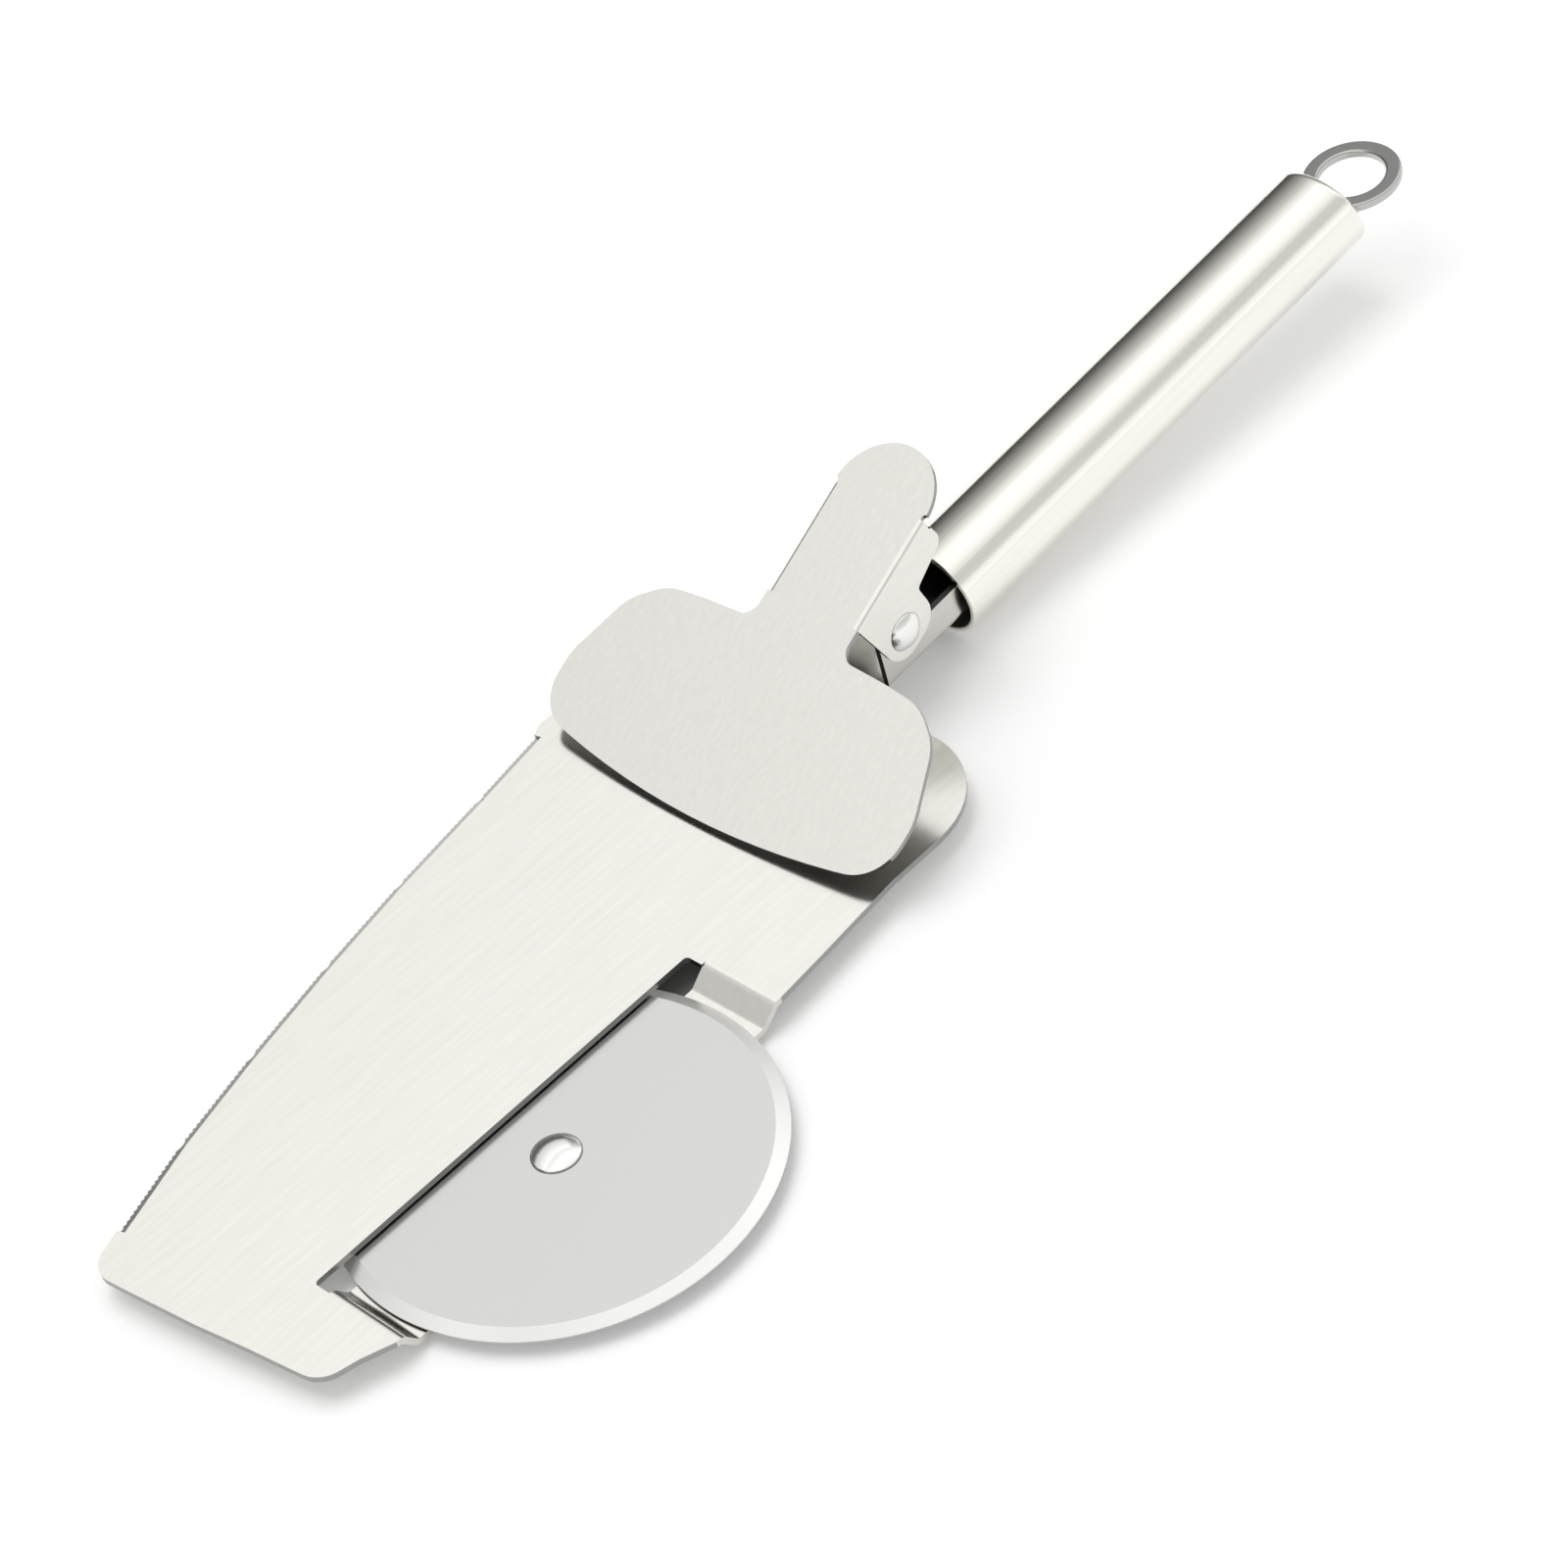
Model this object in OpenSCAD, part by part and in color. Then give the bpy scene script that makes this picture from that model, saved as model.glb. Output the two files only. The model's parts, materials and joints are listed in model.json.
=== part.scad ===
// Pizza knife: a serrated server blade with a cutting wheel under it, a sprung clamp that
// holds the slice, and a tube handle with a hanging ring. All lengths are in millimetres.
// Inside the modules X runs from the wheel axle to the ring, Y = 0 is the middle of the
// handle and Z = 0 is the underside of the wheel.

/* [Server blade] */
// Thickness of the stamped blade sheet
sheet = 1.0; // [0.8:0.1:1.2]
// Width of the blade across its rear half
blade_width = 70.4; // [66:0.2:74]
// Flat blade in front of the wheel strip
tip_land = 17.2; // [14:0.2:20]
// Flat blade behind the wheel strip
rear_land = 52.8; // [46:0.2:58]
// Rounding of the two rear corners
rear_corner_r = 15.9; // [10:0.1:17]
// Rounding of the corners of the tip, of the half width of the blade
tip_round_share = 0.114; // [0.04:0.002:0.114]
// Fillet between the blade and its neck
neck_fillet_r = 3.0; // [2:0.1:3.2]
// Spacing of the cutting teeth
tooth_pitch = 0.95; // [0.8:0.05:1.4]
// Depth of the cutting teeth
tooth_depth = 0.40; // [0.2:0.05:0.6]
// Width of the plain notch between two groups of teeth
notch_width = 1.6; // [1:0.1:2.4]
// Depth of the plain notch
notch_depth = 0.65; // [0.4:0.05:0.9]
// Width of the ground flat along the teeth
grind_width = 1.3; // [0.8:0.1:1.8]
// Metal ground away at the edge of the teeth
grind_depth = 0.6; // [0.3:0.05:0.7]

/* [Cutting wheel and its strip] */
// Diameter of the cutting wheel
wheel_d = 65; // [60:0.5:68]
// Thickness of the cutting wheel
wheel_thick = 1.0; // [0.8:0.1:1.5]
// Width of the ground bevel of the wheel
wheel_bevel = 2.0; // [1:0.1:4]
// Thickness that is left at the rim of the wheel
wheel_rim = 0.25; // [0.1:0.05:0.4]
// Distance from the middle of the handle to the wheel axle
wheel_off = 29.8; // [28:0.1:32]
// Gap between the wheel and the blade above it
blade_gap = 0.3; // [0.2:0.05:0.6]
// Gap between the wheel and the strip below it
strip_gap = 0.3; // [0.25:0.05:0.6]
// Width of the strip that carries the wheel
strip_width = 14.2; // [12:0.1:16]
// Width of the slit between the strip and the blade
slit = 3.1; // [2:0.1:4]
// Gap from the rim of the wheel to the front bend of the strip
bend_gap_front = 0.7; // [0.6:0.1:2]
// Gap from the rim of the wheel to the rear bend of the strip
bend_gap_rear = 1.2; // [0.6:0.1:2]
// Length of the front ramp of the strip
ramp_front = 2.1; // [1.5:0.1:3.5]
// Length of the rear ramp of the strip
ramp_rear = 3.2; // [1.5:0.1:4]
// Inner radius of the strip's bends
bend_r = 0.9; // [0.6:0.1:1]
// How far the slit runs past the front bend
slit_front = 0.7; // [0.4:0.1:0.8]
// How far the slit stops short of the rear bend
slit_rear = 0.4; // [0.2:0.1:0.6]
// Rounding of the slit's corners on the blade's side
slit_r = 0.7; // [0.4:0.1:1]
// Diameter of the wheel rivet
axle_d = 5.0; // [4:0.1:6]
// Diameter of the domed head of the wheel rivet
axle_head_d = 7.4; // [6.8:0.1:9]
// Height of that dome
axle_head_h = 1.3; // [0.8:0.1:2]
// Diameter of the rivet tail under the strip
axle_tail_d = 7.0; // [6.4:0.1:8]
// Height of the rivet tail
axle_tail_h = 0.7; // [0.4:0.1:1]
// Outer diameter of the washer under the wheel
washer_d = 9.0; // [7:0.1:11]
// Play of the wheel along its rivet, on each side
wheel_play = 0.1; // [0.05:0.01:0.15]

/* [Neck] */
// Outer width of the folded neck, of the tube's bore
neck_share = 0.833; // [0.76:0.001:0.86]
// Length of the neck in front of the handle
neck_length = 19.0; // [18:0.1:22]
// Underside of the neck below the middle of the tube
neck_drop = 2.46; // [2:0.01:3.2]
// Length of the neck inside the tube
tang_length = 14; // [8:0.5:20]
// Outer radius of the neck's folds
fold_r = 1.6; // [1.1:0.1:2]
// Place of the clamp pivot along the neck
pivot_along = 5.3; // [5:0.1:7]
// Height of the clamp pivot above the neck's underside
pivot_height = 10.74; // [10:0.01:12]
// Front edge of the neck's walls, from the bend
neck_front = 1.4; // [1:0.1:2]
// Radius of the neck's pivot lobes
lobe_r = 3.2; // [2.6:0.1:4]
// Fillet behind the pivot lobes
lobe_fillet_r = 2.0; // [1:0.1:3]
// How far the top edges of the neck bite into the tube
tang_bite = 0.01; // [0.005:0.005:0.02]

/* [Handle] */
// Outer diameter of the tube
tube_d = 16; // [15:0.1:18]
// Wall of the tube
tube_wall = 0.8; // [0.6:0.1:1]
// Rounding of the edges of the tube's mouth
mouth_r = 0.25; // [0.1:0.05:0.3]
// Length of the tube with its end cap, along its middle
handle_length = 97.4; // [90:0.1:120]
// Slant of the far end: how much shorter the handle is at its top edge
end_slant = 2.0; // [0:0.1:3]
// Rise of the handle
handle_pitch = 5.5; // [3:0.5:8]
// Rounded edge of the end cap
cap_edge = 1.5; // [1:0.1:3]
// Length of the cap's plug inside the tube
cap_plug = 5.0; // [4:0.5:8]
// Outer diameter of the hanging ring
ring_d = 16.2; // [15:0.1:18]
// Hole of the hanging ring
ring_hole_d = 11.0; // [9:0.1:11.4]
// Thickness of the hanging ring
ring_thick = 1.6; // [1:0.1:2.5]
// Distance from the end of the handle to the middle of the ring
ring_reach = 6.9; // [6.2:0.1:7.2]

/* [Clamp] */
// Thickness of the clamp sheet
clamp_sheet = 0.8; // [0.6:0.1:1]
// Width of the clamp plate
clamp_width = 70.9; // [66:0.1:74]
// Depth of the wide part of the clamp plate
clamp_depth = 30.0; // [26:0.2:32]
// Distance from the pivot to the front edge, along the plate
clamp_front = 40.0; // [38:0.1:44]
// Height of the plate's top above the pivot
plate_rise = 10.2; // [9.8:0.1:12]
// Bow of the front edge
front_bow = 4.1; // [2:0.1:6]
// Rounding of the front corners
front_corner_r = 7.5; // [4:0.1:9]
// Rounding of the sides
side_r = 9.0; // [4:0.1:12]
// Fillet between the plate and the thumb tab
tab_fillet_r = 2.0; // [1:0.1:3]
// Width of the thumb tab over its folds
tab_width = 18.3; // [18:0.1:22]
// Distance from the pivot to the end of the thumb tab
tab_reach = 23.65; // [21:0.05:26]
// Outer radius of the clamp's folds
ear_fold_r = 1.0; // [0.8:0.1:1.6]
// Front edge of the ears, in front of the pivot
ear_front = 4.7; // [4:0.1:5.5]
// Lower edge of the ears, below the pivot
ear_low = 4.1; // [3.8:0.1:5]
// Rear edge of the ear lobes, behind the pivot
ear_back = 5.4; // [4.6:0.1:6]
// Rounding of the ear lobes
ear_r = 4.0; // [3:0.1:4.1]
// Waist between the ears and the tab flanges, behind the pivot
waist_back = 6.1; // [5.6:0.1:7]
// Depth of that waist, from the plate's top
waist_depth = 7.3; // [6.4:0.1:8]
// Height of the tab flanges, from the plate's top
flange_depth = 6.2; // [4:0.1:7]
// Rear end of the tab flanges, behind the pivot
flange_end = 14.2; // [12:0.1:16]
// Rounding of the flanges' rear corner
flange_r = 2.0; // [1:0.1:3]
// Radius of the relief cut behind each fold
relief_r = 0.6; // [0.4:0.1:0.8]
// Gap between the resting clamp and the blade
rest_gap = 0.3; // [0.1:0.05:0.5]

/* [Clamp pivot and spring] */
// Diameter of the pivot rivet
pin_d = 3.0; // [2.5:0.1:4]
// Diameter of its domed heads
pin_head_d = 6.2; // [5:0.1:7]
// Height of its domed heads
pin_head_h = 1.4; // [0.8:0.1:1.8]
// Running clearance on each radius of a turning joint
run_clear = 0.05; // [0.03:0.01:0.08]
// Gap between the spacers and the neck
side_clear = 0.3; // [0.2:0.05:0.4]
// Outer diameter of the spacers on the pivot rivet
spacer_d = 6.0; // [5:0.1:7]
// Diameter of the spring wire
wire_d = 0.9; // [0.6:0.05:1]
// Middle diameter of the spring coil
coil_d = 5.8; // [5:0.1:6.4]
// Rise of the coil per turn
coil_pitch = 1.5; // [1.45:0.05:1.7]
// Bend radius of the spring legs
leg_bend_r = 1.5; // [1:0.1:2]
// Angle between the upper leg and the clamp plate
leg_up = 20; // [15:1:35]
// Angle between the lower leg and the neck
leg_down = 30; // [20:1:45]
// Gap between the upper leg and the plate
leg_gap = 0.3; // [0.2:0.05:0.4]

/* [Hidden] */
$fn = 96;
// sides of the small round parts
small_fn = 48;
// overrun of every cut
over = 1.5;
// steps of a rounded outline corner, and the radius from which it takes twice as many
arc_steps = 6;
wide_r = 6;
// turns the spring needs to come back to its legs
coil_turns = 5;
// rings of the spring tube per turn, and its sides
coil_rings = 8;
wire_sides = 6;
// steps of a leg bend
bend_steps = 3;

// heights of the sheets
plate_low = wheel_thick + blade_gap;
plate_top = plate_low + sheet;
strip_top = -strip_gap;
drop = plate_top - strip_top;
half_width = blade_width / 2;
tip_r = tip_round_share * half_width;

// the strip under the wheel
wheel_r = wheel_d / 2;
bend_front = wheel_r + bend_gap_front;
bend_rear = wheel_r + bend_gap_rear;
slot_front = bend_front + ramp_front;
slot_rear = bend_rear + ramp_rear;
strip_out = -wheel_off - strip_width / 2;
strip_in = -wheel_off + strip_width / 2;
cut_edge = strip_in + slit;
blade_tip = slot_front + tip_land;
blade_rear = slot_rear + rear_land;
blade_length = blade_tip + blade_rear;
front_turn = atan2(drop, ramp_front);
rear_turn = atan2(drop, ramp_rear);
start_front = (bend_r + sheet) * tan(front_turn / 2);
start_rear = (bend_r + sheet) * tan(rear_turn / 2);
flat_lap = start_front + sheet / 4;

// the neck starts where the blade's sheet is bent up to the handle
bore_r = tube_d / 2 - tube_wall;
neck_width = 2 * neck_share * bore_r;
neck_half = neck_width / 2;
bend_x = blade_rear + neck_fillet_r + sheet / 4;
wall_top = neck_drop + sqrt(pow(bore_r + tang_bite, 2) - pow(neck_half, 2));
pivot_x = bend_x + pivot_along * cos(handle_pitch) - pivot_height * sin(handle_pitch);
pivot_z = plate_low + pivot_along * sin(handle_pitch) + pivot_height * cos(handle_pitch);
mouth_x = bend_x + neck_length * cos(handle_pitch) - neck_drop * sin(handle_pitch);
mouth_z = plate_low + neck_length * sin(handle_pitch) + neck_drop * cos(handle_pitch);
tube_length = handle_length - cap_edge;
ring_at = handle_length + ring_reach;

// the clamp leans so far that its front edge comes down on the blade
under_rise = plate_rise - clamp_sheet;
clamp_arm = sqrt(pow(clamp_front, 2) + pow(under_rise, 2));
clamp_lean = atan2(under_rise, clamp_front)
    + asin((pivot_z - plate_top - rest_gap) / clamp_arm);
clamp_half = clamp_width / 2;
tab_half = tab_width / 2;
ear_in = tab_half - clamp_sheet;

// outline of the blade, hand-chosen shares: the tip [of tip_land, of the half width] ...
tip_shares = [[0.349, -0.991], [0.61, -0.955], [0.703, -0.895], [0.725, -0.83],
    [0.797, -0.571], [0.878, -0.321], [0.971, 0.057], [1, 0.188], [0.936, 0.256],
    [0.843, 0.287]];
// ... the ends of the groups of teeth [of the whole length, of the half width] ...
edge_shares = [[0.048, 0.327], [0.16, 0.477], [0.282, 0.605], [0.411, 0.722],
    [0.536, 0.818], [0.673, 0.903], [0.774, 0.972]];
// ... and the rear [of rear_land, of the half width]
right_shares = [[0.509, -0.983], [0.203, -1.026]];
left_share = 0.43;
corner_share = 0.98;

// outline of the clamp's side [of clamp_depth, of the half width]
front_share = 0.78;
side_shares = [[0.137, 1.004], [0.46, 1.004], [0.832, 0.886], [0.975, 0.73]];
root_shares = [[1, 0.52], [1.012, 0.3]];
waist_share = 0.95;
flange_rise_share = 0.06;

function unit(v) = v / norm(v);
function turned(v, a) = [v[0] * cos(a) - v[1] * sin(a), v[0] * sin(a) + v[1] * cos(a)];
// arc of radius r in the corner b between a and c
function corner_arc(a, b, c, r) =
    let (u = unit(a - b), w = unit(c - b), half = acos(u * w) / 2,
         mid = b + unit(u + w) * (r / sin(half)),
         from = b + u * (r / tan(half)) - mid, to = b + w * (r / tan(half)) - mid,
         turn = atan2(from[0] * to[1] - from[1] * to[0], from * to),
         steps = r < wide_r ? arc_steps : 2 * arc_steps)
    [for (i = [0:steps]) mid + turned(from, turn * i / steps)];
function flat_point(p) = [p[0], p[1]];
// outline with a radius as third value of each point
function rounded(pts) = let (n = len(pts))
    [for (i = [0:n - 1]) each pts[i][2] == 0 ? [flat_point(pts[i])]
        : corner_arc(flat_point(pts[(i + n - 1) % n]), flat_point(pts[i]),
                     flat_point(pts[(i + 1) % n]), pts[i][2])];
function mirrored(pts) = [for (i = [len(pts) - 1:-1:0]) [pts[i][0], -pts[i][1], pts[i][2]]];

// teeth of one group between two ends of the edge, going to the rear
function inward(a, b) = turned(unit(b - a), -90);
function tooth_run(a, b) =
    let (run = norm(b - a) - notch_width, n = max(1, round(run / tooth_pitch)),
         start = a + unit(b - a) * notch_width / 2, step = unit(b - a) * run / n,
         cut = inward(a, b) * tooth_depth)
    [for (k = [0:n - 1]) each [start + step * k + cut, start + step * (k + 0.5)],
     start + step * n + cut];
edge_ends = [for (s = edge_shares) [s[0] * blade_length - blade_tip, s[1] * half_width]];
last_end = len(edge_ends) - 1;
edge_pts = [for (i = [0:last_end - 1]) each concat(
    [edge_ends[i] + (i == 0 ? 0 : notch_depth) * inward(edge_ends[i], edge_ends[i + 1])],
    tooth_run(edge_ends[i], edge_ends[i + 1]))];

blade_pts = rounded(concat(
    [[bend_x, -neck_half, 0], [blade_rear, -neck_half, neck_fillet_r],
     [blade_rear, -corner_share * half_width, rear_corner_r]],
    [for (s = right_shares) [slot_rear + s[0] * rear_land, s[1] * half_width, 0]],
    [[slot_rear + flat_lap, strip_out, 0], [slot_rear + start_rear, strip_out, 0],
     [slot_rear + start_rear, strip_in, 0], [slot_rear - slit_rear, strip_in, 0],
     [slot_rear - slit_rear, cut_edge, slit_r],
     [-slot_front - slit_front, cut_edge, slit_r], [-slot_front - slit_front, strip_in, 0],
     [-slot_front - start_front, strip_in, 0], [-slot_front - start_front, strip_out, 0],
     [-slot_front - flat_lap, strip_out, 0]],
    [for (s = tip_shares) [-slot_front - s[0] * tip_land, s[1] * half_width, tip_r]],
    [for (p = edge_pts) [p[0], p[1], 0]],
    [[edge_ends[last_end][0], edge_ends[last_end][1], 0],
     [slot_rear + left_share * rear_land, half_width, 0],
     [blade_rear, corner_share * half_width, rear_corner_r],
     [blade_rear, neck_half, neck_fillet_r], [bend_x, neck_half, 0]]));

// half outline of the clamp plate, from the middle of the front edge to the tab's end
clamp_side = concat(
    [for (k = [0:arc_steps]) let (y = front_share * k / arc_steps)
        [-clamp_front + front_bow * y * y, y * clamp_half, 0]],
    [for (i = [0:len(side_shares) - 1]) [-clamp_front + side_shares[i][0] * clamp_depth,
        side_shares[i][1] * clamp_half, i == 0 ? front_corner_r : side_r]],
    [for (s = root_shares) [-clamp_front + s[0] * clamp_depth, s[1] * clamp_half,
        tab_fillet_r]],
    [[-clamp_front + clamp_depth + tab_fillet_r, tab_half, tab_fillet_r],
     [tab_reach - tab_half, tab_half, 0]]);
tab_end = [for (k = [1:4 * arc_steps - 1]) let (a = 90 - 45 * k / arc_steps)
    [tab_reach - tab_half + tab_half * cos(a), tab_half * sin(a), 0]];
clamp_pts = rounded(concat(clamp_side, tab_end, mirrored(clamp_side)));

// middle of the box round the whole part: the frame's origin is below it
blade_min_x = min([for (p = blade_pts) p[0]]);
clamp_max_y = max([for (p = clamp_pts) p[1]]);
ring_max_x = mouth_x + ring_at * cos(handle_pitch)
    + ring_d / 2 * cos(handle_pitch) + ring_thick / 2 * sin(handle_pitch);
frame_x = (blade_min_x + ring_max_x) / 2;
frame_y = (max(clamp_max_y, max([for (p = blade_pts) p[1]])) - wheel_off - wheel_r) / 2;
frame_z = min(mouth_z - tube_d / 2 * cos(handle_pitch),
              strip_top - sheet - axle_tail_h);

// the spring's path, seen from the side: the upper leg stands square on the clamp plate
// and the lower one square on the neck's floor
coil_r = coil_d / 2;
up_angle = clamp_lean + leg_up;
down_angle = leg_down - handle_pitch;
up_leg = (under_rise - leg_gap - (coil_r + leg_bend_r) * cos(leg_up) - wire_d) / sin(leg_up);
down_leg = (pivot_height - sheet - (coil_r + leg_bend_r) * cos(leg_down) - wire_d)
    / sin(leg_down);
coil_sweep = 360 * coil_turns - 180 - up_angle - down_angle;
coil_steps = ceil(coil_sweep / 360 * coil_rings);
coil_rise = coil_pitch * coil_sweep / 360;
// leg from the coil's tangent point outwards: along, then a bend of the given angle,
// then straight for one wire diameter
function leg(start, angle, run, bend, y) =
    let (d = turned([1, 0], angle), side = turned(d, bend > 0 ? 90 : -90),
         b0 = start + d * run, c = b0 + side * leg_bend_r,
         last = c + turned(b0 - c, bend), e = turned(d, bend))
    concat([for (i = [0:bend_steps]) let (p = c + turned(b0 - c, bend * i / bend_steps))
        [p[0], y, p[1]]], [[(last + e * wire_d)[0], y, (last + e * wire_d)[1]]]);
up_start = coil_r * [-sin(up_angle), cos(up_angle)];
down_start = coil_r * [-sin(down_angle), -cos(down_angle)];
up_path = leg(up_start, up_angle, up_leg, 90 - leg_up, coil_rise / 2);
down_path = leg(down_start, -down_angle, down_leg, leg_down - 90, -coil_rise / 2);
coil_path = [for (i = [0:coil_steps]) let (f = i / coil_steps,
        a = -90 - down_angle - coil_sweep * f)
    [coil_r * cos(a), coil_rise * (f - 0.5), coil_r * sin(a)]];
spring_path = concat([for (i = [len(down_path) - 1:-1:0]) down_path[i]], coil_path, up_path);

// ring of the tube round one point of the path
function way(i) = unit(spring_path[min(i + 1, len(spring_path) - 1)]
    - spring_path[max(i - 1, 0)]);
function wire_ring(i) = let (t = way(i), u = unit(cross(t, [0, 1, 0])), w = cross(u, t))
    [for (k = [0:wire_sides - 1]) let (a = 360 * k / wire_sides)
        spring_path[i] + wire_d / 2 * (u * cos(a) + w * sin(a))];
wire_pts = [for (i = [0:len(spring_path) - 1]) each wire_ring(i)];
wire_last = (len(spring_path) - 1) * wire_sides;
wire_faces = concat(
    [for (i = [0:len(spring_path) - 2], k = [0:wire_sides - 1])
        let (a = i * wire_sides + k, b = i * wire_sides + (k + 1) % wire_sides)
        each [[a, b, b + wire_sides], [a, b + wire_sides, a + wire_sides]]],
    [for (k = [1:wire_sides - 2]) [0, k + 1, k]],
    [for (k = [1:wire_sides - 2]) [wire_last, wire_last + k, wire_last + k + 1]]);
spring_gap = min([for (i = [0:len(spring_path) - 1], j = [0:len(spring_path) - 1])
    if (j - i >= coil_rings / 2) norm(spring_path[i] - spring_path[j])]) - wire_d;
echo(spring_gap = spring_gap, clamp_lean = clamp_lean, rings = len(spring_path));
echo(pivot = [pivot_x - frame_x, -frame_y, pivot_z - frame_z],
     axle = [-frame_x, -wheel_off - frame_y, -frame_z],
     ring = [mouth_x + ring_at * cos(handle_pitch) - frame_x, -frame_y,
             mouth_z + ring_at * sin(handle_pitch) - frame_z],
     shift = [frame_x, frame_y, frame_z]);

// every node, in the order of the list in the report

module in_part() {
    translate([-frame_x, -frame_y, -frame_z]) children();
}
// X along the neck, from the bend on the blade's underside
module in_neck() {
    in_part() translate([bend_x, 0, plate_low]) rotate([0, -handle_pitch, 0]) children();
}
// X along the tube, from the middle of its mouth
module in_tube() {
    in_neck() translate([neck_length, 0, neck_drop]) children();
}
// leans what stands square on the tube's axis to the slant of the far end
module in_slant() {
    multmatrix([[1, 0, -end_slant / (tube_d / 2), 0], [0, 1, 0, 0], [0, 0, 1, 0]]) children();
}
// X along the clamp plate, from the pivot
module in_clamp() {
    in_part() translate([pivot_x, 0, pivot_z]) rotate([0, -clamp_lean, 0]) children();
}
// sheet of the given thickness standing on a side profile, its outer face at y
module side_sheet(y, thick) {
    translate([0, y > 0 ? y : y + thick, 0]) rotate([90, 0, 0])
        linear_extrude(height = thick) children();
}
// takes the outer edge off a fold that runs along X at [y, z], to the sides up and down
module fold_cut(start, stop, y, z, r, down) {
    translate([start, 0, 0]) rotate([90, 0, 90]) linear_extrude(height = stop - start)
        difference() {
            translate([y > 0 ? y - r : y - over, down ? z - r : z - over])
                square([r + over, r + over]);
            translate([y > 0 ? y - r : y + r, down ? z - r : z + r]) circle(r, $fn = small_fn);
        }
}
// domed head on the plane Z = 0
module dome(d, h) {
    ball = (d * d / 4 + h * h) / (2 * h);
    intersection() {
        translate([0, 0, h - ball]) sphere(ball, $fn = small_fn);
        cylinder(r = d, h = h + over);
    }
}

// one stamped sheet: blade, wheel strip and folded neck
module server_blade() {
    color("#cfcecb") difference() {
        union() {
            in_part() blade_flat();
            in_part() wheel_strip();
            in_neck() neck();
        }
        in_part() translate([0, -wheel_off, strip_top - sheet - over])
            cylinder(d = axle_d, h = sheet + 2 * over, $fn = small_fn);
        in_neck() translate([pivot_along, neck_half + over, pivot_height])
            rotate([90, 0, 0])
            cylinder(r = pin_d / 2 + run_clear, h = neck_width + 2 * over, $fn = small_fn);
    }
}
module blade_flat() {
    difference() {
        translate([0, 0, plate_low]) linear_extrude(height = sheet) polygon(blade_pts);
        for (i = [0:last_end - 1]) edge_grind(edge_ends[i], edge_ends[i + 1]);
    }
}
// slope that is ground on the top of one group of teeth
module edge_grind(a, b) {
    slope = grind_depth / grind_width;
    translate([a[0], a[1], 0]) rotate([0, 0, atan2(b[1] - a[1], b[0] - a[0])])
        rotate([90, 0, 90]) linear_extrude(height = norm(b - a))
        polygon([[-grind_width - over / slope, plate_top + over], [over, plate_top + over],
                 [over, plate_top - grind_depth - over * slope]]);
}
// sheet that dips under the wheel, seen from the side and drawn out across its width
module wheel_strip() {
    bow_front = sheet * tan(front_turn / 2);
    bow_rear = sheet * tan(rear_turn / 2);
    wide = bend_r + sheet;
    translate([0, strip_in, 0]) rotate([90, 0, 0]) linear_extrude(height = strip_width)
        polygon(rounded([[-slot_front - flat_lap, plate_low, 0],
            [-slot_front - flat_lap, plate_top, 0], [-slot_front, plate_top, wide],
            [-bend_front, strip_top, bend_r], [bend_rear, strip_top, bend_r],
            [slot_rear, plate_top, wide], [slot_rear + flat_lap, plate_top, 0],
            [slot_rear + flat_lap, plate_low, 0], [slot_rear + bow_rear, plate_low, bend_r],
            [bend_rear + bow_rear, strip_top - sheet, wide],
            [-bend_front - bow_front, strip_top - sheet, wide],
            [-slot_front - bow_front, plate_low, bend_r]]));
}
// channel folded up from the blade's sheet, with a lobe on each side for the pivot
module neck() {
    end = neck_length + tang_length;
    difference() {
        union() {
            translate([0, -neck_half, 0]) cube([end, neck_width, sheet]);
            for (y = [neck_half, -neck_half]) side_sheet(y, sheet) neck_side(end);
        }
        for (y = [neck_half, -neck_half]) fold_cut(-over / 8, end + over, y, 0, fold_r, false);
    }
}
module neck_side(end) {
    union() {
        polygon(rounded([[neck_front, 0, 0], [pivot_along - lobe_r, pivot_height, 0],
            [pivot_along + lobe_r, pivot_height, 0],
            [pivot_along + lobe_r, wall_top, lobe_fillet_r], [end, wall_top, 0], [end, 0, 0]]));
        translate([pivot_along, pivot_height]) circle(lobe_r);
    }
}

module handle_tube() {
    long = tube_length + end_slant + over;
    color("#c4c4c2") in_tube() difference() {
        rotate([0, 90, 0]) rotate_extrude()
            polygon(rounded([[bore_r, 0, mouth_r], [tube_d / 2, 0, mouth_r],
                [tube_d / 2, long, 0], [bore_r, long, 0]]));
        in_slant() translate([tube_length, 0, 0]) rotate([0, 90, 0])
            cylinder(r = tube_d, h = tube_d);
    }
}

// plug with a rounded edge, slotted for the ring
module handle_end_cap() {
    color("#bdbdbb") in_tube() difference() {
        union() {
            in_slant() translate([tube_length - cap_plug, 0, 0]) rotate([0, 90, 0])
                cylinder(r = bore_r, h = cap_plug + cap_edge / 2);
            in_slant() translate([tube_length, 0, 0]) rotate([0, 90, 0]) rotate_extrude()
                polygon(rounded([[0, 0, 0], [tube_d / 2, 0, 0],
                    [tube_d / 2, cap_edge, cap_edge], [0, cap_edge, 0]]));
        }
        translate([ring_at, 0, -ring_thick / 2]) cylinder(d = ring_d, h = ring_thick);
    }
}

module hanging_ring() {
    color("#a9a9a7") in_tube() translate([ring_at, 0, -ring_thick / 2]) difference() {
        cylinder(d = ring_d, h = ring_thick);
        translate([0, 0, -over]) cylinder(d = ring_hole_d, h = ring_thick + 2 * over);
    }
}

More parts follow.
